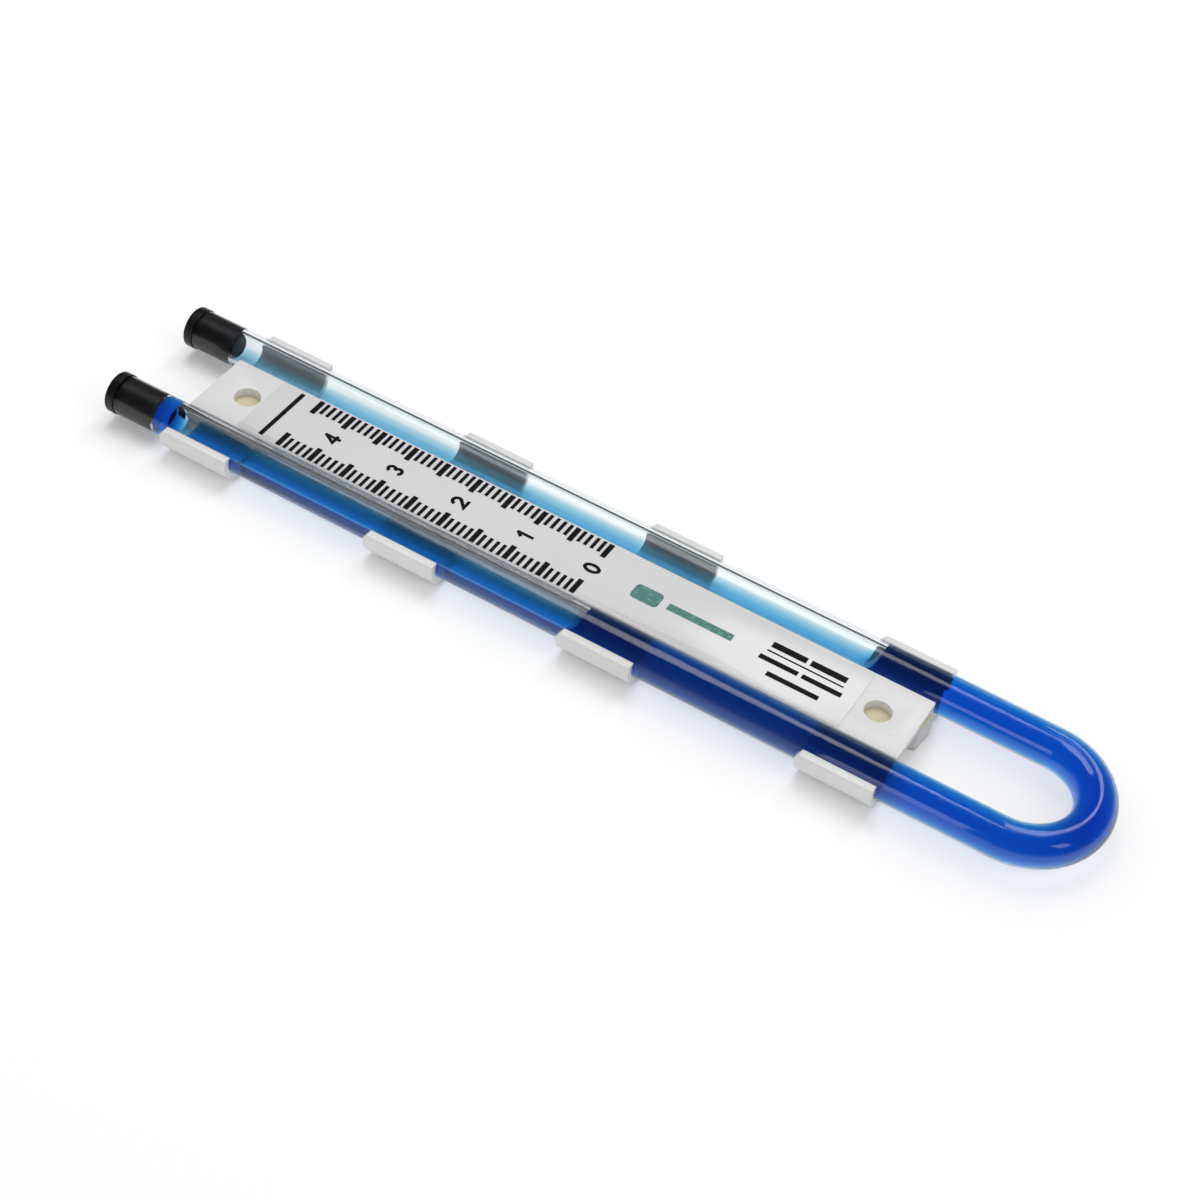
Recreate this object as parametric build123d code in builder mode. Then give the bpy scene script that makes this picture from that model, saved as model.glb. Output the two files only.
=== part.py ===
from build123d import *
import os

# U-tube manometer for reading the suction in a vent pipe. A clear flexible tube, bent into a U and
# part filled with blue fluid, snaps into eight J-shaped clips on a white moulded bracket. The
# bracket carries a printed scale and is screwed or stuck to the pipe through its foam pad.
# Millimetres. The manometer lies on its back: +X runs from the open ends to the bend, +Y from the
# near limb to the far limb, +Z up from the back of the pad. The origin is on the pad's back face,
# halfway between the two screw holes.

# Tube
tube_diameter = 7.0
tube_bore = 5.0
open_end_overhang = 10.6
bend_overhang = 19.0

# Bracket: a plate between the limbs, with four pairs of clips
plate_width = 14.2
plate_thickness = 1.6
plate_corner_round = 0.4
hole_spacing = 120.0
hole_diameter = 4.6
hole_end_margin = 6.7
tube_plate_gap = 0.2
clip_length = 13.3
clip_wall = 1.1
clip_play = 0.1
clip_wall_above_axis = 1.4
clip_corner_length = 0.7
clip_corner_height = 1.0
inner_clip_xs = (-19.3, 17.3)

# Height of the plate's top face over the tube's centre line, and of the clips over the wall behind
plate_top_above_axis = 1.25
clip_standoff = 0.25

# Foam pad and the paper that covers its sticky face
pad_clip_gap = 0.15
pad_end_margin = 1.0
pad_overhang = 0.6
torn_corner_depth = 2.2
torn_corner_width = 7.0
torn_corner_slant = 0.5
liner_thickness = 0.15

# Printed label, held clear of the screw holes
label_side_margin = 0.2
label_open_end_gap = 0.4
label_bend_end_gap = 1.4
label_thickness = 0.1
label_corner = 0.6
ink_thickness = 0.04

# Scale: each mark is 1.27 mm of movement in one limb, and the two limbs together make 2.54 mm
division = 1.27
division_count = 45
divisions_per_long_mark = 5
divisions_per_numeral = 10
scale_end_margin = 8.15
mark_edge_gap = 0.25
short_mark_length = 2.7
short_mark_width = 0.52
long_mark_length = 3.4
long_mark_width = 0.85
numeral_height = 2.45
numeral_width = 1.65
numeral_stroke = 0.4

# Plain printed bars at the bend end: height, distance from the label's middle and the bars' lengths
bar_rows = (
    (1.3, 2.75, (6.2, 6.4)),
    (0.3, 1.15, (13.6,)),
    (1.0, -0.65, (6.9, 7.0)),
    (1.0, -3.4, (9.2,)),
)
bar_gap = 0.7
bar_rows_end_margin = 9.8

# One more bar across the label, before the scale
caption_bar_length = 12.6
caption_bar_width = 0.8
caption_end_margin = 4.4

# Coloured print: a block and a bar in the label's middle
colour_block_length = 5.0
colour_block_width = 3.4
colour_block_round = 0.8
colour_bar_length = 11.8
colour_bar_width = 1.5
colour_gap = 1.4
colour_print_after_scale = 7.8

# Stoppers in the open ends
stopper_head_overhang = 0.15
stopper_head_length = 1.8
stopper_head_round = 0.45
stopper_shaft_length = 7.9
stopper_lead_in = 0.4
stopper_play = 0.05

# Indicator fluid, with the air bubble in the near limb and the air above the far level
fluid_play = 0.02
fluid_stopper_gap = 0.05
near_slug_length = 2.75
near_level_to_bend = 72.6
near_side_film = 0.4
near_layer_depth = 0.93
far_level_to_bend = 30.2
far_side_film = 0.2
far_layer_depth = 0.53

# Worked-out sizes and places
tube_radius = tube_diameter / 2
bore_radius = tube_bore / 2
limb_y = plate_width / 2 + tube_plate_gap + tube_radius
clip_inner_radius = tube_radius + clip_play
clip_outer_radius = clip_inner_radius + clip_wall
axis_z = clip_standoff + clip_outer_radius
plate_top = axis_z + plate_top_above_axis
plate_bottom = plate_top - plate_thickness
clip_top = axis_z + clip_wall_above_axis
label_top = plate_top + label_thickness
hole_x = hole_spacing / 2
plate_end_x = hole_x + hole_end_margin
tube_end_x = -plate_end_x - open_end_overhang
bend_centre_x = plate_end_x + bend_overhang
clip_xs = (-hole_x, *inner_clip_xs, hole_x)
pad_width = 2 * (limb_y - clip_outer_radius - pad_clip_gap)
fluid_radius = bore_radius - fluid_play
fluid_end_x = tube_end_x + stopper_shaft_length + fluid_stopper_gap
label_start_x = -hole_x + hole_diameter / 2 + label_open_end_gap
label_end_x = hole_x - hole_diameter / 2 - label_bend_end_gap
label_length = label_end_x - label_start_x
label_width = plate_width - 2 * label_side_margin
scale_zero_x = label_start_x + scale_end_margin + division_count * division


def limb_path(start_x, end_x):
    """Centre line of the tube: along the near limb, round the bend and back along the far limb."""
    near = Line((start_x, -limb_y, axis_z), (bend_centre_x, -limb_y, axis_z))
    far = Line((bend_centre_x, limb_y, axis_z), (end_x, limb_y, axis_z))
    crown = (bend_centre_x + limb_y, 0, axis_z)
    ThreePointArc(near @ 1, crown, far @ 0)


def save(node, name):
    """Label a finished piece and write its STEP file."""
    node.part.label = name
    export_step(node.part, f"parts/{name}.step")


os.makedirs("parts", exist_ok=True)


# Bracket: one white moulding
with BuildPart() as mounting_bracket:
    with BuildSketch(Plane.XY.offset(plate_bottom)):
        RectangleRounded(2 * plate_end_x, plate_width, plate_corner_round)
    extrude(amount=plate_thickness)
    # each clip wraps under its limb from the plate's edge, then stands up outside it
    for clip_x in clip_xs:
        with BuildSketch(Plane.YZ.offset(clip_x - clip_length / 2)):
            with Locations((limb_y, axis_z)):
                Circle(clip_outer_radius)
                with Locations((0, clip_wall_above_axis / 2)):
                    Rectangle(2 * clip_outer_radius, clip_wall_above_axis)
            # nothing of the clip stands above the plate's underside on its inner side
            with Locations((limb_y - clip_outer_radius, plate_bottom)):
                Rectangle(clip_outer_radius, tube_diameter, align=(Align.MIN, Align.MIN), mode=Mode.SUBTRACT)
            with Locations((limb_y, clip_top)):
                Rectangle(
                    2 * clip_outer_radius, tube_diameter,
                    align=(Align.CENTER, Align.MIN), mode=Mode.SUBTRACT,
                )
            # a short root joins the curved wall to the plate's edge
            root_width = plate_width / 2 - (limb_y - clip_outer_radius)
            with Locations((plate_width / 2 - root_width, plate_bottom)):
                Rectangle(root_width, plate_thickness, align=(Align.MIN, Align.MIN))
            with Locations((limb_y, axis_z)):
                Circle(clip_inner_radius, mode=Mode.SUBTRACT)
            mirror(about=Plane.YZ)
        extrude(amount=clip_length)
    # the upper corner of each outer wall is cut back at the clip's open end
    for clip_x in clip_xs:
        corner_x = clip_x - clip_length / 2
        with BuildSketch(Plane.XZ) as corner:
            with BuildLine() as corner_outline:
                Polyline(
                    (corner_x, clip_top),
                    (corner_x + clip_corner_length, clip_top),
                    (corner_x, clip_top - clip_corner_height),
                    close=True,
                )
            make_face(corner_outline.line)
        for side in (-1, 1):
            outer_wall = corner.sketch.moved(Location((0, side * limb_y, 0)))
            extrude(outer_wall, amount=-side * clip_outer_radius, mode=Mode.SUBTRACT)
    with Locations((-hole_x, 0, plate_top), (hole_x, 0, plate_top)):
        Hole(hole_diameter / 2)
save(mounting_bracket, "mounting_bracket")


# Tube: one length of clear vinyl tube bent into a U
with BuildPart() as u_tube:
    with BuildLine():
        limb_path(tube_end_x, tube_end_x)
    with BuildSketch(Plane.YZ.offset(tube_end_x)):
        with Locations((-limb_y, axis_z)):
            Circle(tube_radius)
            Circle(bore_radius, mode=Mode.SUBTRACT)
    sweep()
save(u_tube, "u_tube")


# Stoppers: a soft plug with a rounded head in each open end
for name, side in (("near_stopper", -1), ("far_stopper", 1)):
    with BuildPart() as stopper:
        with BuildSketch(Plane.YZ.offset(tube_end_x)):
            with Locations((side * limb_y, axis_z)):
                Circle(tube_radius + stopper_head_overhang)
        extrude(amount=-stopper_head_length)
        fillet(stopper.faces().sort_by(Axis.X)[0].edges(), stopper_head_round)
        with BuildSketch(Plane.YZ.offset(tube_end_x)):
            with Locations((side * limb_y, axis_z)):
                Circle(bore_radius - stopper_play)
        extrude(amount=stopper_shaft_length)
        chamfer(stopper.faces().sort_by(Axis.X)[-1].edges(), stopper_lead_in)
    save(stopper, name)


def air_space(limb_centre_y, side_film, layer_depth, start_x, end_x, domed_start):
    """Air lying over a layer of fluid: a long round space with a domed end."""
    radius = bore_radius - side_film
    centre_z = axis_z - fluid_radius + layer_depth + radius
    first = start_x + (radius if domed_start else 0)
    last = end_x - radius
    with BuildSketch(Plane.YZ.offset(first)) as section:
        with Locations((limb_centre_y, centre_z)):
            Circle(radius)
    extrude(section.sketch, amount=last - first, mode=Mode.SUBTRACT)
    domes = [(last, limb_centre_y, centre_z)]
    if domed_start:
        domes.append((first, limb_centre_y, centre_z))
    with Locations(*domes):
        Sphere(radius, mode=Mode.SUBTRACT)


# Indicator fluid: fills the bend and the near limb's end, and lies under the air in both limbs
with BuildPart() as indicator_fluid:
    with BuildLine():
        limb_path(fluid_end_x, fluid_end_x)
    with BuildSketch(Plane.YZ.offset(fluid_end_x)):
        with Locations((-limb_y, axis_z)):
            Circle(fluid_radius)
    sweep()
    near_bubble_start = fluid_end_x + near_slug_length
    near_level_x = bend_centre_x - near_level_to_bend
    air_space(-limb_y, near_side_film, near_layer_depth, near_bubble_start, near_level_x, True)
    far_level_x = bend_centre_x - far_level_to_bend
    air_space(limb_y, far_side_film, far_layer_depth, tube_end_x, far_level_x, False)
save(indicator_fluid, "indicator_fluid")


# Label: a printed sticker along the plate
with BuildPart() as scale_label:
    with BuildSketch(Plane.XY.offset(plate_top)):
        with Locations(((label_start_x + label_end_x) / 2, 0)):
            RectangleRounded(label_length, label_width, label_corner)
    extrude(amount=label_thickness)
save(scale_label, "scale_label")


# Scale marks: a row along each edge of the label, every fifth one longer and heavier
mark_outer_y = label_width / 2 - mark_edge_gap
with BuildPart() as scale_marks:
    with BuildSketch(Plane.XY.offset(label_top)):
        for index in range(division_count + 1):
            is_long = index % divisions_per_long_mark == 0
            length = long_mark_length if is_long else short_mark_length
            width = long_mark_width if is_long else short_mark_width
            mark_x = scale_zero_x - index * division
            mark_y = mark_outer_y - length / 2
            with Locations((mark_x, mark_y), (mark_x, -mark_y)):
                Rectangle(width, length)
    extrude(amount=ink_thickness)
save(scale_marks, "scale_marks")


def pen_line(*points):
    """Draw straight pen strokes from point to point."""
    with BuildLine() as stroke:
        Polyline(*points)
    trace(stroke.line, line_width=numeral_stroke)


def pen_arc(centre, radius, start_angle, turn, *points):
    """Draw a curved pen stroke, then straight ones from its end to each point."""
    with BuildLine() as stroke:
        curve = CenterArc(centre, radius, start_angle, turn)
        if points:
            Polyline(curve @ 1, *points)
    trace(stroke.line, line_width=numeral_stroke)


def draw_numeral(value):
    """Draw one numeral, upright in its own sketch and centred on its origin."""
    half_pen = numeral_stroke / 2
    top = numeral_height / 2 - half_pen
    side = numeral_width / 2 - half_pen
    if value == 0:
        Ellipse(side + half_pen, top + half_pen)
        Ellipse(side - half_pen, top - half_pen, mode=Mode.SUBTRACT)
    elif value == 1:
        flag_drop = side
        pen_line((0, -top - half_pen), (0, top + half_pen))
        pen_line((0, top), (-side, top - flag_drop))
    elif value == 2:
        hook_start, hook_turn = 170, -205
        pen_arc((0, top - side), side, hook_start, hook_turn, (-side, -top), (side + half_pen, -top))
    elif value == 3:
        bowl = top / 2
        upper_start, lower_start, bowl_turn = 160, 90, -250
        pen_arc((0, bowl), bowl, upper_start, bowl_turn)
        pen_arc((0, -bowl), bowl, lower_start, bowl_turn)
    elif value == 4:
        stem_x = side / 2
        bar_y = -top / 2
        pen_line((stem_x, -top - half_pen), (stem_x, top + half_pen))
        pen_line((stem_x, top), (-side, bar_y), (side + half_pen, bar_y))


# Numerals: their feet point to the bend, so they read upright when the bend hangs down
with BuildPart() as scale_numerals:
    for value in range(division_count // divisions_per_numeral + 1):
        numeral_x = scale_zero_x - value * divisions_per_numeral * division
        numeral_plane = Plane(origin=(numeral_x, 0, label_top), x_dir=(0, 1, 0), z_dir=(0, 0, 1))
        with BuildSketch(numeral_plane):
            draw_numeral(value)
        extrude(amount=ink_thickness)
save(scale_numerals, "scale_numerals")


# Dark printed bars at the bend end of the label, and one across it before the scale
with BuildPart() as print_bars:
    with BuildSketch(Plane.XY.offset(label_top)):
        rows_centre_x = label_end_x - bar_rows_end_margin
        for row_width, row_y, lengths in bar_rows:
            row_length = sum(lengths) + bar_gap * (len(lengths) - 1)
            start_x = rows_centre_x - row_length / 2
            for length in lengths:
                with Locations((start_x + length / 2, row_y)):
                    Rectangle(length, row_width)
                start_x += length + bar_gap
        with Locations((label_start_x + caption_end_margin, 0)):
            Rectangle(caption_bar_width, caption_bar_length)
    extrude(amount=ink_thickness)
save(print_bars, "print_bars")


# Coloured print beside the zero mark: a rounded block, then a bar in line with it
with BuildPart() as colour_print:
    with BuildSketch(Plane.XY.offset(label_top)):
        block_x = scale_zero_x + colour_print_after_scale + colour_block_length / 2
        bar_x = block_x + colour_block_length / 2 + colour_gap + colour_bar_length / 2
        with Locations((block_x, 0)):
            RectangleRounded(colour_block_length, colour_block_width, colour_block_round)
        with Locations((bar_x, 0)):
            Rectangle(colour_bar_length, colour_bar_width)
    extrude(amount=ink_thickness)
save(colour_print, "colour_print")


def pad_outline():
    """The pad seen from above: its bend end stands out past the plate, with one corner torn back."""
    left = -plate_end_x + pad_end_margin
    right = plate_end_x + pad_overhang
    half = pad_width / 2
    tear_y = -half + torn_corner_width
    with BuildLine() as outline:
        Polyline(
            (left, -half),
            (right - torn_corner_depth - torn_corner_slant, -half),
            (right - torn_corner_depth, tear_y),
            (right - torn_corner_slant, tear_y + torn_corner_slant),
            (right, half),
            (left, half),
            close=True,
        )
    make_face(outline.line)


# Foam pad under the plate, sticky on both faces
with BuildPart() as foam_pad:
    with BuildSketch(Plane.XY.offset(liner_thickness)):
        pad_outline()
    extrude(amount=plate_bottom - liner_thickness)
save(foam_pad, "foam_pad")


# Release paper over the pad's back face
with BuildPart() as release_liner:
    with BuildSketch():
        pad_outline()
    extrude(amount=liner_thickness)
save(release_liner, "release_liner")
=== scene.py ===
# %% [markdown]
# # A U-tube manometer
# A clear vinyl tube, bent into a U and part filled with blue fluid, lies in the clips of a white
# bracket with a printed scale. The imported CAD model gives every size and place. This script adds what
# CAD leaves out: clear walls that bend light, fluid that colours it, softened edges, print and paper.

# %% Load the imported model
import math

import bmesh
import bpy
from mathutils import Matrix, Vector


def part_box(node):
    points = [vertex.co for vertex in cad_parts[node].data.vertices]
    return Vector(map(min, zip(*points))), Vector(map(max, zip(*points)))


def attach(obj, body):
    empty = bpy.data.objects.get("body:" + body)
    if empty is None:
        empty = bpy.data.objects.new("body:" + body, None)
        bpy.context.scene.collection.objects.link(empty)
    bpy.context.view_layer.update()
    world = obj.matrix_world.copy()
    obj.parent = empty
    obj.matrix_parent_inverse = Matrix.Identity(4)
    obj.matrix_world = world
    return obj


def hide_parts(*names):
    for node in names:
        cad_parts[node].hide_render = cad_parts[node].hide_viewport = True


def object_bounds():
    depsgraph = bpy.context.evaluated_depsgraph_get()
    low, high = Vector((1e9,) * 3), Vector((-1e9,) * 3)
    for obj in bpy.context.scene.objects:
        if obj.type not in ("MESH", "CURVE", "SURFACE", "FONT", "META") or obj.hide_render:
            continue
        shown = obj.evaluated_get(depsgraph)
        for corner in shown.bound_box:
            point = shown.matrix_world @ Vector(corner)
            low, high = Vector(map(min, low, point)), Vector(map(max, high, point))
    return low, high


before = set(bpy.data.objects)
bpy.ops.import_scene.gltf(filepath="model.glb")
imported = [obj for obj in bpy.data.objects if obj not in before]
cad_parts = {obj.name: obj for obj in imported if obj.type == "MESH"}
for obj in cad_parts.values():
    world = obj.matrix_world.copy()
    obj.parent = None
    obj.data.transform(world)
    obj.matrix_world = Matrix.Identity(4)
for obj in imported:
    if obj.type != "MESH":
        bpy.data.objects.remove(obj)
cad_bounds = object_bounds()
scene = bpy.context.scene
print("nodes:", sorted(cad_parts))

# %% [markdown]
# ## Sizes
# The manometer is measured in millimetres and Blender works in metres, so one factor turns one into
# the other. The sizes that the pieces share are read from the CAD boxes: the tube's box gives its
# radius, the height of its centre line and where the bend starts.

# %% Read the shared sizes from the frame
MM = 0.001
tube_low, tube_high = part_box("u_tube")
fluid_low, fluid_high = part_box("indicator_fluid")
pad_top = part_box("foam_pad")[1].z

tube_radius = (tube_high.z - tube_low.z) / 2
axis_z = (tube_high.z + tube_low.z) / 2
limb_y = tube_high.y - tube_radius
bend_centre_x = tube_high.x - tube_radius - limb_y
fluid_play = 0.02 * MM  # the CAD fluid is this much smaller in radius than the bore
bore_radius = (fluid_high.z - fluid_low.z) / 2 + fluid_play
hole_x = 60 * MM
print("tube radius, bore radius in mm:", tube_radius / MM, bore_radius / MM)
print("limbs at y in mm:", limb_y / MM, "bend centre at x in mm:", bend_centre_x / MM)

# %% [markdown]
# ## The camera
# The photograph looks down at about 45 degrees along the near side, with a long lens. A pinhole camera
# fitted to the printed scale gives its place, the point it looks at, its roll and its lens, so the
# render has the same frame as the photograph.

# %% Set up the camera
camera_place = Vector((130.6, -266.7, 295.2)) * MM
camera_target = Vector((12.69, -5.37, 6.3)) * MM
camera_roll = math.radians(8.88)
camera_lens_mm = 76.7

camera_data = bpy.data.cameras.new("photo_camera")
camera_data.lens = camera_lens_mm
camera_data.sensor_width = 36
camera_data.clip_start = 0.01
camera = bpy.data.objects.new("photo_camera", camera_data)
aim = (camera_target - camera_place).to_track_quat("-Z", "Y")
camera.matrix_world = (
    Matrix.Translation(camera_place) @ aim.to_matrix().to_4x4() @ Matrix.Rotation(camera_roll, 4, "Z")
)
scene.collection.objects.link(camera)
scene.camera = camera
print("camera distance in mm:", (camera_target - camera_place).length / MM)

# %% [markdown]
# ## Nodes in one line
# A material is a tree of nodes. This helper adds one node, sets its plain sockets and links the rest,
# so that each material further on reads as a short list of what it is made of.

# %% Make a node
def add_node(tree, kind, links=None, **values):
    """Add a node, set its sockets by name and link the sources that feed it."""
    made = tree.nodes.new(kind)
    for name, value in values.items():
        made.inputs[name.replace("_", " ")].default_value = value
    for name, source in (links or {}).items():
        tree.links.new(source, made.inputs[name])
    return made


def math_node(tree, operation, first, second):
    """Combine two values, each a socket or a plain number."""
    made = tree.nodes.new("ShaderNodeMath")
    made.operation = operation
    for socket, source in zip(made.inputs, (first, second)):
        if isinstance(source, (int, float)):
            socket.default_value = source
        else:
            tree.links.new(source, socket)
    return made.outputs[0]


def step_node(tree, source, start, end, low=0.0, high=1.0):
    """Turn a value that runs from start to end into one that runs smoothly from low to high."""
    made = add_node(tree, "ShaderNodeMapRange", {"Value": source})
    made.interpolation_type = "SMOOTHSTEP"
    for name, value in zip(("From Min", "From Max", "To Min", "To Max"), (start, end, low, high)):
        made.inputs[name].default_value = value
    return made.outputs["Result"]


def mix_colours(tree, factor, first, second):
    """Blend two colours, each a socket or a plain colour."""
    made = tree.nodes.new("ShaderNodeMix")
    made.data_type = "RGBA"
    tree.links.new(factor, made.inputs["Factor"])
    for socket, source in zip((made.inputs[6], made.inputs[7]), (first, second)):
        if isinstance(source, tuple):
            socket.default_value = (*source, 1.0)
        else:
            tree.links.new(source, socket)
    return made.outputs[2]


def object_place(tree):
    """The place on the piece itself, in metres."""
    return tree.nodes.new("ShaderNodeTexCoord").outputs["Object"]


def noise_node(tree, place, scale, detail, distortion=0.0):
    """Soft random clouds: how many to a metre, how fine and how twisted."""
    made = add_node(
        tree, "ShaderNodeTexNoise", {"Vector": place}, Scale=scale, Detail=detail, Distortion=distortion
    )
    return made.outputs[0]


def add_bump(tree, shader, height, strength, distance):
    """Shade a surface as if it had a fine relief of this height."""
    bump = add_node(tree, "ShaderNodeBump", {"Height": height}, Strength=strength, Distance=distance)
    tree.links.new(bump.outputs[0], shader.inputs["Normal"])


def let_lamps_through(material, tint):
    """Let the lamps shine through a clear piece as well as the camera sees through it."""
    tree = material.node_tree
    shadow_ray = tree.nodes.new("ShaderNodeLightPath").outputs["Is Shadow Ray"]
    open_way = add_node(tree, "ShaderNodeBsdfTransparent", Color=(*tint, 1.0))
    both = add_node(tree, "ShaderNodeMixShader")
    tree.links.new(shadow_ray, both.inputs[0])
    tree.links.new(tree.nodes["Principled BSDF"].outputs[0], both.inputs[1])
    tree.links.new(open_way.outputs[0], both.inputs[2])
    tree.links.new(both.outputs[0], tree.nodes["Material Output"].inputs["Surface"])


def new_material(name):
    """A material with a Principled shader: returns it, its tree and the shader."""
    material = bpy.data.materials.new(name)
    material.use_nodes = True
    return material, material.node_tree, material.node_tree.nodes["Principled BSDF"]


print("node helpers ready")

# %% [markdown]
# ## The studio
# The real one lies on a white sweep in a dark studio. The floor is plain white and keeps its shadow.
# A little extra white, which only the camera, reflections and clear pieces see, takes the lit floor
# to the photograph's pure white. The room's light fills the shadows evenly, but the glossy tube mirrors
# a dark room in the photograph, so the sky is dark to a mirrored ray.

# %% Lay the floor
floor_width = 6.0
floor_gap = 0.02 * MM
floor_colour = (0.97, 0.97, 0.97)
floor_lift = 0.10


def only_seen(tree):
    """1 for a ray from the camera, a reflection or a clear piece, and 0 for light on its way."""
    ray = tree.nodes.new("ShaderNodeLightPath").outputs
    seen = math_node(tree, "MAXIMUM", ray["Is Camera Ray"], ray["Is Glossy Ray"])
    return math_node(tree, "MAXIMUM", seen, ray["Is Transmission Ray"])


def white_floor_material():
    """A matt white with a little light of its own where it is only looked at."""
    material, tree, shader = new_material("white_floor")
    tree.nodes.remove(shader)
    matt = add_node(tree, "ShaderNodeBsdfDiffuse", Color=(*floor_colour, 1.0))
    lift = math_node(tree, "MULTIPLY", only_seen(tree), floor_lift)
    glow = add_node(tree, "ShaderNodeEmission", {"Strength": lift})
    both = add_node(tree, "ShaderNodeAddShader")
    tree.links.new(matt.outputs[0], both.inputs[0])
    tree.links.new(glow.outputs[0], both.inputs[1])
    tree.links.new(both.outputs[0], tree.nodes["Material Output"].inputs["Surface"])
    return material


bm = bmesh.new()
bmesh.ops.create_grid(bm, x_segments=1, y_segments=1, size=floor_width / 2)
bmesh.ops.translate(bm, verts=bm.verts, vec=(0, 0, cad_bounds[0][2] - floor_gap))
floor_mesh = bpy.data.meshes.new("floor")
bm.to_mesh(floor_mesh)
bm.free()
floor_mesh.materials.append(white_floor_material())
floor = bpy.data.objects.new("floor", floor_mesh)
scene.collection.objects.link(floor)
print("floor width in m:", floor_width)

# %% Light the sky
sky_white = (1.0, 1.0, 1.0)
sky_fill = (0.60, 0.60, 0.60)
sky_mirrored = (0.09, 0.095, 0.105)

world = bpy.data.worlds.new("studio")
world.use_nodes = True
sky_tree = world.node_tree
ray = sky_tree.nodes.new("ShaderNodeLightPath").outputs
mirrored = mix_colours(sky_tree, ray["Is Glossy Ray"], sky_fill, sky_mirrored)
seen_sky = mix_colours(sky_tree, ray["Is Camera Ray"], mirrored, sky_white)
sky_tree.links.new(seen_sky, sky_tree.nodes["Background"].inputs["Color"])
scene.world = world
scene.view_settings.view_transform = "Standard"
print("the sky fills with", sky_fill[0], "and mirrors as", sky_mirrored[0])

# %% [markdown]
# ## Four softboxes
# A long streak runs along the top of the tube and round the bend, a short one lies lower on both
# limbs near the bend, and a small patch sits on the bend itself. A streak is the mirror image of a
# lamp, so its place on the round tube tells where the lamp stands. The first softbox stands above and
# behind, turned a little, and makes the streak on the limbs. The second, further back, carries that
# streak round the bend. The third is narrow and low at the front, and the fourth stands at the right.

# %% Place the softboxes
def softbox(name, towards, distance, along, length, width, radiance):
    """A rectangular lamp aimed at the manometer, its long side turned towards a direction."""
    lamp = bpy.data.lights.new(name, "AREA")
    lamp.shape = "RECTANGLE"
    lamp.size = length
    lamp.size_y = width
    lamp.energy = math.pi * radiance * length * width
    box = bpy.data.objects.new(name, lamp)
    back = Vector(towards).normalized()
    side = Vector(along)
    side = (side - back * side.dot(back)).normalized()
    turned = Matrix((side, back.cross(side), back)).transposed().to_4x4()
    box.matrix_world = Matrix.Translation(camera_target + back * distance) @ turned
    box.visible_camera = False
    scene.collection.objects.link(box)


# name, the way to it, distance in m, its long side along, length in m, width in m, radiance
softboxes = (
    ("back_softbox", (-0.251, 0.218, 0.943), 0.7, (0.56, -0.73, 0.39), 0.36, 0.28, 4.0),
    ("bend_softbox", (0.066, 0.587, 0.807), 0.86, (0, 1, 0), 0.50, 0.16, 4.0),
    ("front_softbox", (-0.061, -0.97, 0.23), 0.7, (0, 0, 1), 0.30, 0.07, 2.2),
    ("right_softbox", (0.78, -0.14, 0.60), 0.7, (0, 0, 1), 0.20, 0.16, 2.6),
)
for row in softboxes:
    softbox(*row)
print("softboxes:", [lamp.name for lamp in bpy.data.lights])

# %% [markdown]
# ## Turning a bmesh into a piece
# Each piece is made as a bmesh in its own place, so its object stays at the origin. It rides on the CAD
# body that carries it and, where it stands for a CAD node, hides it.

# %% Finish a piece
smooth_below = math.radians(35)


def finish_piece(name, bm, materials, body, replaced=None):
    """Turn a bmesh into a smooth-shaded object that rides on a body."""
    mesh = bpy.data.meshes.new(name)
    bm.to_mesh(mesh)
    bm.free()
    mesh.shade_smooth()
    mesh.set_sharp_from_angle(angle=smooth_below)
    for material in materials:
        mesh.materials.append(material)
    piece = bpy.data.objects.new(name, mesh)
    scene.collection.objects.link(piece)
    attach(piece, body)
    if replaced:
        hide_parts(replaced)
    print(name, "has", len(mesh.polygons), "faces")
    return piece


# %% [markdown]
# ## The clear tube
# The tube is extruded clear vinyl, pushed straight off a reel and bent by hand. One ring of points is
# drawn at the open end, extruded along the near limb, spun half a turn round the bend and extruded
# back. Its two ends are capped and inset by the thickness of the wall, and the inner ring goes the same
# way round and meets itself, so the wall has a real thickness, which is what makes clear plastic look
# clear. The bore is wet nearly all round, and a wet wall hardly mirrors, so it gets a quieter finish.

# %% Sweep a ring round the U
ring_segments = 96
bend_steps = 72
seam_within = 0.002 * MM
vinyl_colour = (0.90, 0.95, 0.965, 1.0)
vinyl_ior = 1.53
vinyl_lamp_tint = (0.82, 0.82, 0.82)
dry_mirror = 0.7
wet_mirror = 0.1


def edges_in(made):
    """The edges among what an operator made."""
    return [item for item in made if isinstance(item, bmesh.types.BMEdge)]


def verts_in(made):
    """The vertices among what an operator made."""
    return [item for item in made if isinstance(item, bmesh.types.BMVert)]


def extrude_along(bm, ring, distance):
    """Extrude a ring of edges along x and return the new ring."""
    made = bmesh.ops.extrude_edge_only(bm, edges=ring)["geom"]
    fresh = set(verts_in(made))
    bmesh.ops.translate(bm, verts=list(fresh), vec=(distance, 0, 0))
    return [edge for edge in edges_in(made) if set(edge.verts) <= fresh]


def carry_round(bm, ring):
    """Carry a ring from the near open end along the U to the far one. Returns the last ring."""
    straight = bend_centre_x - tube_low.x
    at_bend = extrude_along(bm, ring, straight)
    turned = bmesh.ops.spin(
        bm, geom=at_bend, cent=(bend_centre_x, 0, axis_z), axis=(0, 0, 1), angle=math.pi, steps=bend_steps
    )
    return extrude_along(bm, edges_in(turned["geom_last"]), -straight)


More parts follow.
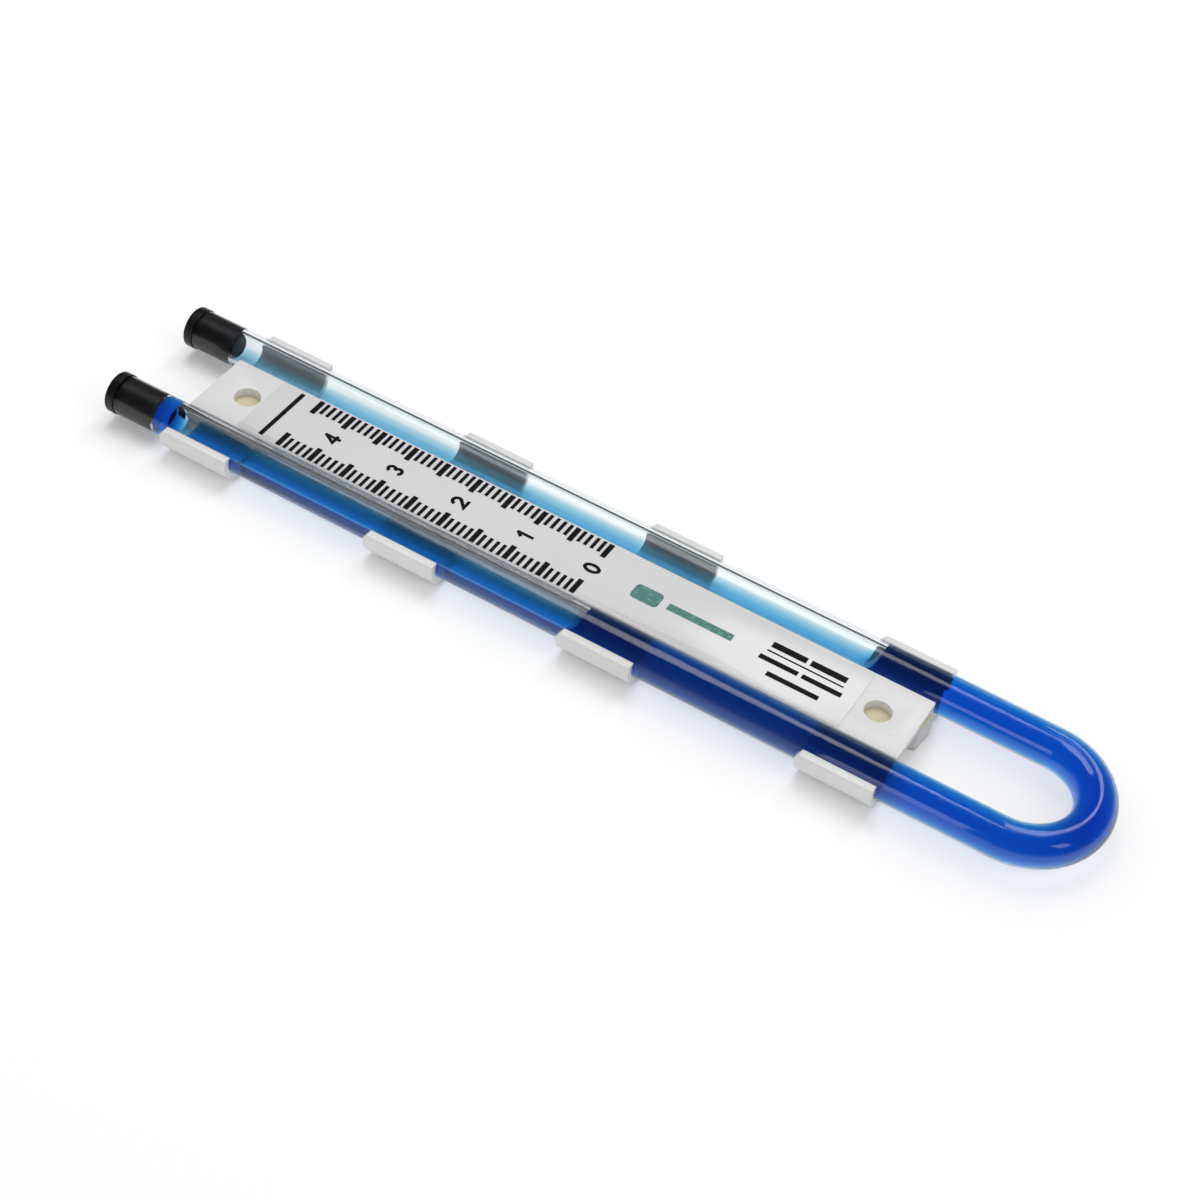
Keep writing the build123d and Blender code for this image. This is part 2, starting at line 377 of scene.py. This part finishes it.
def clear_vinyl_material(name, mirror):
    """Soft clear plastic with the faint waviness of an extruded tube."""
    material, tree, shader = new_material(name)
    shader.inputs["Specular Tint"].default_value = (mirror, mirror, mirror, 1.0)
    shader.inputs["Base Color"].default_value = vinyl_colour
    shader.inputs["Roughness"].default_value = 0.02
    shader.inputs["IOR"].default_value = vinyl_ior
    shader.inputs["Transmission Weight"].default_value = 1.0
    waves = noise_node(tree, object_place(tree), scale=120.0, detail=1.0)
    add_bump(tree, shader, waves, strength=0.02, distance=0.0003)
    let_lamps_through(material, vinyl_lamp_tint)
    return material


bm = bmesh.new()
ring = bmesh.ops.create_circle(bm, segments=ring_segments, radius=tube_radius)["verts"]
bmesh.ops.rotate(bm, verts=ring, matrix=Matrix.Rotation(math.pi / 2, 3, "Y"))
bmesh.ops.translate(bm, verts=ring, vec=(tube_low.x, -limb_y, axis_z))
near_ring = list(bm.edges)
far_ring = carry_round(bm, near_ring)
caps = [bmesh.ops.contextual_create(bm, geom=ring)["faces"][0] for ring in (near_ring, far_ring)]
bmesh.ops.recalc_face_normals(bm, faces=bm.faces)
bmesh.ops.inset_individual(bm, faces=caps, thickness=tube_radius - bore_radius)
bore_ring = list(caps[0].edges)
bmesh.ops.delete(bm, geom=caps, context="FACES_ONLY")
outside = set(bm.faces)
carry_round(bm, bore_ring)
for face in set(bm.faces) - outside:
    face.material_index = 1
bmesh.ops.remove_doubles(bm, verts=bm.verts, dist=seam_within)
bmesh.ops.recalc_face_normals(bm, faces=bm.faces)
print("vinyl volume in ml:", round(bm.calc_volume(signed=True) * 1e6, 2))
vinyl = [clear_vinyl_material("clear_vinyl", dry_mirror), clear_vinyl_material("wet_vinyl", wet_mirror)]
finish_piece("clear_tube", bm, vinyl, "tube", "u_tube")

# %% [markdown]
# ## The blue fluid
# Water with a dye and a wetting agent fills the bend and the near limb's end. It also lies as a layer
# under a long bubble in the near limb and, less deep, under the air in the far limb. One ring of points
# is extruded through a row of slices. Most of a slice's points follow the bore, a hair larger, so that
# no film of air is left at the wall. The rest lie across the free surface, which is high and narrow
# where the tube is full and comes down, sagging a little, where there is air above. The fluid casts no
# shadow, because lamps shining through it would paint the floor blue; the tube round it casts one.

# %% Shape the fluid
seal_overlap = 0.01 * MM
fluid_radius = bore_radius + seal_overlap
full_angle = math.radians(2)
full_height = fluid_radius * math.cos(full_angle)
flat_radius = 1e6
wall_points = 80
surface_points = 32


def slice_outline(contact_height, sag):
    """Places round one slice: along the bore's bottom, then back over the free surface."""
    half_width = math.sqrt(fluid_radius**2 - contact_height**2)
    contact_angle = math.atan2(half_width, -contact_height)
    outline = []
    for step in range(wall_points):
        angle = contact_angle * (2 * step / (wall_points - 1) - 1)
        outline.append((fluid_radius * math.sin(angle), -fluid_radius * math.cos(angle)))
    hollow_radius = (half_width**2 + sag**2) / (2 * sag) if sag else flat_radius
    for step in range(1, surface_points + 1):
        across = half_width * (1 - 2 * step / (surface_points + 1))
        rise = across**2 / (hollow_radius + math.sqrt(hollow_radius**2 - across**2))
        outline.append((across, contact_height - sag + rise))
    return outline


def limb_slice(x, side, contact_height=full_height, sag=0.0):
    """A slice across a straight limb."""
    return Vector((x, side * limb_y, axis_z)), Vector((0, side, 0)), contact_height, sag


def air_end(nose_x, length, side, contact_height, sag, steps=14):
    """Slices from the tip of an air space, where it meets the top of the bore, to its full depth."""
    slices = []
    for step in range(steps + 1):
        angle = math.radians(90 * (1 - step / steps))
        rise = (full_height - contact_height) * (1 - math.cos(angle))
        x = nose_x + length * (1 - math.sin(angle))
        slices.append(limb_slice(x, side, contact_height + rise, sag * math.cos(angle)))
    return slices


def lay_fluid(bm, slices):
    """Extrude one closed column through all the slices and cap its two ends."""
    count = wall_points + surface_points
    ring = bmesh.ops.create_circle(bm, segments=count, radius=fluid_radius)["verts"]
    ring_edges = list(bm.edges)
    for number, (centre, outward, contact_height, sag) in enumerate(slices):
        if number:
            made = bmesh.ops.extrude_edge_only(bm, edges=ring_edges)["geom"]
            fresh = set(verts_in(made))
            ring = [
                next(edge.other_vert(vert) for edge in vert.link_edges if edge.other_vert(vert) in fresh)
                for vert in ring
            ]
            ring_edges = [edge for edge in edges_in(made) if set(edge.verts) <= fresh]
        for vert, (out, up) in zip(ring, slice_outline(contact_height, sag)):
            vert.co = centre + outward * out + Vector((0, 0, up))
    open_rings = [edge for edge in bm.edges if edge.is_boundary]
    bmesh.ops.holes_fill(bm, edges=open_rings, sides=count)
    bmesh.ops.recalc_face_normals(bm, faces=bm.faces)


# %% Pour it in
# contact is how far above the limb's centre line the surface meets the wall, sag how far it hangs
near_bubble_start_x = fluid_low.x + 2.75 * MM
bubble_end_length = 2.0 * MM
rising_slices = 10
near_level_length = 3.0 * MM
far_level_length = 4.5 * MM
near_level_x = bend_centre_x - 72.6 * MM
near_contact, near_sag = 0.5 * MM, 0.6 * MM
end_contact, end_sag, end_rise = -1.5 * MM, 0.4 * MM, 2.2 * MM
far_level_x = bend_centre_x - 30.2 * MM
far_contact_at_level, far_contact_at_stopper, far_sag = -0.7 * MM, -1.2 * MM, 0.7 * MM

slices = [limb_slice(fluid_low.x, -1)]
slices += air_end(near_bubble_start_x, bubble_end_length, -1, end_contact, end_sag)
for step in range(1, rising_slices + 1):
    part = (1 - math.cos(math.pi * step / rising_slices)) / 2
    x = near_bubble_start_x + bubble_end_length + end_rise * step / rising_slices
    contact = end_contact + (near_contact - end_contact) * part
    slices.append(limb_slice(x, -1, contact, end_sag + (near_sag - end_sag) * part))
slices += reversed(air_end(near_level_x, -near_level_length, -1, near_contact, near_sag))
for step in range(bend_steps + 1):
    angle = math.pi * (step / bend_steps - 0.5)
    outward = Vector((math.cos(angle), math.sin(angle), 0))
    centre = Vector((bend_centre_x, 0, axis_z)) + outward * limb_y
    slices.append((centre, outward, full_height, 0.0))
slices += air_end(far_level_x, -far_level_length, 1, far_contact_at_level, far_sag)
slices.append(limb_slice(fluid_low.x, 1, far_contact_at_stopper, far_sag))


def blue_fluid_material():
    """Water whose dye takes out the red at once, the green over a few millimetres, the blue hardly."""
    water_ior = 1.34
    red_per_mm, green_per_mm, blue_per_mm = 1.6, 0.5, 0.1
    material, tree, shader = new_material("blue_fluid")
    shader.inputs["Base Color"].default_value = (1.0, 1.0, 1.0, 1.0)
    shader.inputs["Roughness"].default_value = 0.0
    shader.inputs["IOR"].default_value = water_ior
    shader.inputs["Transmission Weight"].default_value = 1.0
    shader.inputs["Specular Tint"].default_value = (0.12, 0.12, 0.12, 1.0)
    dye = tree.nodes.new("ShaderNodeVolumeAbsorption")
    dye.inputs["Color"].default_value = (
        0.0, 1 - green_per_mm / red_per_mm, 1 - blue_per_mm / red_per_mm, 1.0,
    )
    dye.inputs["Density"].default_value = red_per_mm / MM
    tree.links.new(dye.outputs[0], tree.nodes["Material Output"].inputs["Volume"])
    return material


bm = bmesh.new()
lay_fluid(bm, slices)
print("fluid volume in ml:", round(bm.calc_volume() * 1e6, 2))
blue_fluid = finish_piece(
    "blue_fluid", bm, [blue_fluid_material()], "tube", "indicator_fluid"
)
blue_fluid.visible_shadow = False

# %% [markdown]
# ## The stoppers
# Each open end is closed by a black rubber plug with a rounded head. It is turned about the limb's
# axis, so half its outline is drawn once and spun a full turn. The shaft is a press fit, a hair larger
# than the bore: a film of air round it would shine like a mirror.

# %% Turn the stoppers
spin_steps = 72
press_fit = 0.005 * MM
on_axis_within = 0.0005 * MM
rubber_black = (0.004, 0.004, 0.0045)
rubber_dust = (0.009, 0.009, 0.0095)


def black_rubber_material():
    """Black rubber: dark, a little dusty, with a soft grey sheen."""
    material, tree, shader = new_material("black_rubber")
    place = object_place(tree)
    dust = noise_node(tree, place, scale=420.0, detail=4.0)
    tint = mix_colours(tree, step_node(tree, dust, 0.45, 0.75), rubber_black, rubber_dust)
    tree.links.new(tint, shader.inputs["Base Color"])
    shader.inputs["Specular IOR Level"].default_value = 0.3
    tree.links.new(step_node(tree, dust, 0.3, 0.7, 0.34, 0.48), shader.inputs["Roughness"])
    grain = noise_node(tree, place, scale=2600.0, detail=2.0)
    add_bump(tree, shader, grain, strength=0.2, distance=0.00004)
    return material


def stopper_outline(low, high):
    """Half the stopper's outline, from the middle of its head to the middle of its shaft's end."""
    head_radius = (high.y - low.y) / 2
    shaft_radius = bore_radius + press_fit
    round_edge = 0.45 * MM
    lead_in = 0.4 * MM
    round_steps = 5
    head_end = tube_low.x
    outline = [(low.x, 0.0), (low.x, head_radius - round_edge)]
    for step in range(1, round_steps + 1):
        angle = math.radians(90 / round_steps * step)
        x = low.x + round_edge * (1 - math.cos(angle))
        outline.append((x, head_radius - round_edge * (1 - math.sin(angle))))
    outline += [(head_end, head_radius), (head_end, shaft_radius), (high.x - lead_in, shaft_radius)]
    outline += [(high.x, shaft_radius - lead_in), (high.x, 0.0)]
    return outline


rubber = black_rubber_material()
for name, side in (("near_stopper", -1), ("far_stopper", 1)):
    bm = bmesh.new()
    points = [bm.verts.new((x, side * limb_y, axis_z + r)) for x, r in stopper_outline(*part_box(name))]
    edges = [bm.edges.new(pair) for pair in zip(points, points[1:])]
    bmesh.ops.spin(
        bm, geom=points + edges, cent=(0, side * limb_y, axis_z), axis=(1, 0, 0),
        angle=2 * math.pi, steps=spin_steps, use_merge=True,
    )
    bmesh.ops.remove_doubles(bm, verts=bm.verts, dist=on_axis_within)
    bmesh.ops.recalc_face_normals(bm, faces=bm.faces)
    body = "near_plug" if side < 0 else "far_plug"
    finish_piece(name.replace("stopper", "plug"), bm, [rubber], body, name)

# %% [markdown]
# ## The bracket
# The bracket is one injection moulding. CAD has its true form with sharp edges, and a mould leaves
# every edge a little round, which is where the light catches. A copy of the CAD mesh is merged, its
# flat faces are joined up again and its edges are bevelled.

# %% Round the bracket's edges
same_place_within = 0.001 * MM
flat_within = math.radians(0.5)
bracket_edge = 0.12 * MM
white_moulding = (0.78, 0.78, 0.775)
white_moulding_dull = (0.755, 0.755, 0.75)


def merged_copy(node):
    """A copy of a CAD node's mesh with its triangles joined into whole faces."""
    bm = bmesh.new()
    bm.from_mesh(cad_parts[node].data)
    bmesh.ops.remove_doubles(bm, verts=bm.verts, dist=same_place_within)
    bmesh.ops.dissolve_limit(bm, angle_limit=flat_within, verts=bm.verts, edges=bm.edges)
    return bm


def round_edges(bm, width, steps=2, sharper_than=40):
    """Bevel every edge where two faces meet at a clear corner."""
    corners = [edge for edge in bm.edges if edge.calc_face_angle(0) > math.radians(sharper_than)]
    bmesh.ops.bevel(
        bm, geom=corners, offset=width, segments=steps, profile=0.5, affect="EDGES",
        clamp_overlap=True, material=-1,
    )


def moulded_white_material():
    """White polystyrene with a satin skin, and a faint ring pressed round the bend end's screw hole."""
    seat_ring_radius = 4.15 * MM
    seat_ring_width = 0.3 * MM
    material, tree, shader = new_material("moulded_white")
    place = object_place(tree)
    clouds = noise_node(tree, place, scale=60.0, detail=3.0)
    dull = step_node(tree, clouds, 0.35, 0.7)
    tint = mix_colours(tree, dull, white_moulding, white_moulding_dull)
    tree.links.new(tint, shader.inputs["Base Color"])
    tree.links.new(step_node(tree, clouds, 0.3, 0.7, 0.3, 0.4), shader.inputs["Roughness"])
    flat = add_node(tree, "ShaderNodeVectorMath", {0: place})
    flat.operation = "MULTIPLY"
    flat.inputs[1].default_value = (1, 1, 0)
    away = add_node(tree, "ShaderNodeVectorMath", {0: flat.outputs[0]})
    away.operation = "DISTANCE"
    away.inputs[1].default_value = (hole_x, 0, 0)
    past_ring = math_node(tree, "SUBTRACT", away.outputs["Value"], seat_ring_radius)
    off_ring = math_node(tree, "ABSOLUTE", past_ring, 0)
    ring = step_node(tree, off_ring, 0.0, seat_ring_width, 1.0, 0.0)
    grain = noise_node(tree, place, scale=1400.0, detail=2.0)
    height = math_node(tree, "ADD", math_node(tree, "MULTIPLY", grain, 0.04), ring)
    add_bump(tree, shader, height, strength=0.6, distance=0.00006)
    return material


bm = merged_copy("mounting_bracket")
round_edges(bm, bracket_edge)
finish_piece(
    "moulded_bracket", bm, [moulded_white_material()], "bracket", "mounting_bracket"
)

# %% [markdown]
# ## The label and its print
# The scale is printed on a white film, covered with a clear gloss one and stuck to the plate by hand.
# It has small ripples beside the zero mark, and a faint wavy band of painted shade, greyer and warmer,
# runs along its near edge beside the tube. Film and ink share one bump, so the ripples run on through the
# print.

# %% Finish the label and the inks
label_edge = 0.03 * MM
ripple_centre_x = 4 * MM
ripple_reach = 11 * MM
# Where the band of painted shade along the near edge starts, where it is full and how far it wanders.
shade_start_y = -7.5 * MM
shade_full_y = -7.8 * MM
shade_wander = 3.2 * MM
film_white = (0.73, 0.73, 0.735)
film_dull = (0.70, 0.70, 0.705)
# The next colour is painted shade, for the band along the label's near edge.
film_shade_colour = (0.63, 0.625, 0.615)
black = (0.005, 0.005, 0.006)
green = (0.10, 0.24, 0.21)


def add_film_bump(tree, shader):
    """Faint waves all over a film, and clear ripples beside the zero mark."""
    place = object_place(tree)
    along = add_node(tree, "ShaderNodeSeparateXYZ", {"Vector": place}).outputs["X"]
    distance = math_node(tree, "ABSOLUTE", math_node(tree, "SUBTRACT", along, ripple_centre_x), 0)
    near_zero = step_node(tree, distance, 0.0, ripple_reach, 1.0, 0.0)
    ripples = noise_node(tree, place, scale=420.0, detail=2.5, distortion=1.2)
    waves = noise_node(tree, place, scale=110.0, detail=2.0)
    strong = math_node(tree, "MULTIPLY", ripples, near_zero)
    height = math_node(tree, "ADD", strong, math_node(tree, "MULTIPLY", waves, 0.6))
    add_bump(tree, shader, height, strength=0.5, distance=0.0001)
    return place


def label_film_material():
    """Glossy white film, with a band of painted shade, a little greyer and warmer, along its near edge.
    """
    material, tree, shader = new_material("label_film")
    place = add_film_bump(tree, shader)
    clouds = noise_node(tree, place, scale=45.0, detail=4.0)
    paper = mix_colours(tree, step_node(tree, clouds, 0.35, 0.7), film_white, film_dull)
    # Painted shade: a wavy band along the near edge is darkened and warmed, standing in for the shade
    # beside the tube.
    across = add_node(tree, "ShaderNodeSeparateXYZ", {"Vector": place}).outputs["Y"]
    wandered = math_node(tree, "SUBTRACT", across, math_node(tree, "MULTIPLY", clouds, shade_wander))
    near_edge_shade = step_node(tree, wandered, shade_full_y, shade_start_y, 1.0, 0.0)
    tree.links.new(mix_colours(tree, near_edge_shade, paper, film_shade_colour), shader.inputs["Base Color"])
    shader.inputs["Roughness"].default_value = 0.16
    return material


def ink_material(name, colour):
    """Printing ink under the label's gloss."""
    material, tree, shader = new_material(name)
    speckle = noise_node(tree, add_film_bump(tree, shader), scale=1500.0, detail=2.0)
    worn = tuple(channel * 1.6 + 0.006 for channel in colour)
    tint = mix_colours(tree, step_node(tree, speckle, 0.5, 0.75), colour, worn)
    tree.links.new(tint, shader.inputs["Base Color"])
    shader.inputs["Roughness"].default_value = 0.18
    return material


def paint_node(node, material):
    """Give a carried-over CAD node its finish."""
    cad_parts[node].data.materials.clear()
    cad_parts[node].data.materials.append(material)
    print(node, "is finished in", material.name)


bm = merged_copy("scale_label")
round_edges(bm, label_edge)
finish_piece("label_film", bm, [label_film_material()], "bracket", "scale_label")
black_ink = ink_material("black_ink", black)
paint_node("print_bars", black_ink)
paint_node("colour_print", ink_material("green_ink", green))

# %% [markdown]
# ## Bolder marks and numerals
# Printing ink spreads a little as it is pressed on, so the real marks and numerals look heavier than
# the drawn ones. A copy of each mark and numeral is swollen sideways by moving its points outwards, and
# each numeral is also made a little larger about its own middle.

# %% Swell the print
ink_spread = 0.075 * MM
mark_growth = 1.0
numeral_growth = 1.22
leans_sideways = 0.1


def loose_parts(bm):
    """The separate lumps of a mesh, each as a list of its vertices."""
    unseen = set(bm.verts)
    parts = []
    while unseen:
        reached = [unseen.pop()]
        for vert in reached:
            for edge in vert.link_edges:
                other = edge.other_vert(vert)
                if other in unseen:
                    unseen.discard(other)
                    reached.append(other)
        parts.append(reached)
    return parts


def swollen_print(name, node, growth):
    """A copy of a printed node, each of its lumps larger by a factor and swollen by the spread of ink."""
    bm = merged_copy(node)
    for part in loose_parts(bm):
        lowest = [min(vert.co[axis] for vert in part) for axis in (0, 1)]
        highest = [max(vert.co[axis] for vert in part) for axis in (0, 1)]
        middle = Vector(((lowest[0] + highest[0]) / 2, (lowest[1] + highest[1]) / 2, 0))
        bmesh.ops.scale(bm, verts=part, vec=(growth, growth, 1), space=Matrix.Translation(-middle))
    bm.normal_update()
    for vert in bm.verts:
        sideways = Vector((vert.normal.x, vert.normal.y, 0))
        if sideways.length > leans_sideways:
            vert.co += sideways.normalized() * ink_spread
    finish_piece(name, bm, [black_ink], "bracket", node)


swollen_print("printed_marks", "scale_marks", mark_growth)
swollen_print("printed_numerals", "scale_numerals", numeral_growth)

# %% [markdown]
# ## The foam pad
# Double-sided foam tape, die cut and torn at one corner. Its sides show fine closed cells, with painted
# shade in their hollows. The sticky film on its top shows through the screw holes as a tan disc.

# %% Finish the pad and its paper
pad_edge = 0.1 * MM
film_starts = pad_top - 0.08 * MM
film_whole = pad_top - 0.02 * MM
# The first colour is painted shade in the hollows of the foam's cells.
foam_cell_shade = (0.68, 0.68, 0.67)
foam_white = (0.78, 0.78, 0.77)
film_tan = (0.74, 0.65, 0.45)
film_tan_dull = (0.66, 0.60, 0.43)
paper_tan = (0.70, 0.64, 0.50)
paper_pale = (0.80, 0.76, 0.64)


def foam_material():
    """White closed-cell foam with painted shade in its cell hollows and a tan sticky film on top."""
    material, tree, shader = new_material("white_foam")
    place = object_place(tree)
    cells = add_node(tree, "ShaderNodeTexVoronoi", {"Vector": place}, Scale=3200.0).outputs["Distance"]
    height = add_node(tree, "ShaderNodeSeparateXYZ", {"Vector": place}).outputs["Z"]
    film = step_node(tree, height, film_starts, film_whole)
    clouds = noise_node(tree, place, scale=500.0, detail=3.0)
    tan = mix_colours(tree, clouds, film_tan, film_tan_dull)
    # Painted shade: the middles of the cells, their hollows, take the darker colour.
    white = mix_colours(tree, cells, foam_cell_shade, foam_white)
    tree.links.new(mix_colours(tree, film, white, tan), shader.inputs["Base Color"])
    shader.inputs["Roughness"].default_value = 0.85
    add_bump(tree, shader, cells, strength=0.5, distance=0.0001)
    return material


def release_paper_material():
    """Waxed tan paper with a faint fibre."""
    material, tree, shader = new_material("release_paper")
    fibre = noise_node(tree, object_place(tree), scale=900.0, detail=5.0)
    tree.links.new(mix_colours(tree, fibre, paper_tan, paper_pale), shader.inputs["Base Color"])
    shader.inputs["Roughness"].default_value = 0.45
    return material


bm = merged_copy("foam_pad")
round_edges(bm, pad_edge)
finish_piece("foam_tape", bm, [foam_material()], "bracket", "foam_pad")
paint_node("release_liner", release_paper_material())
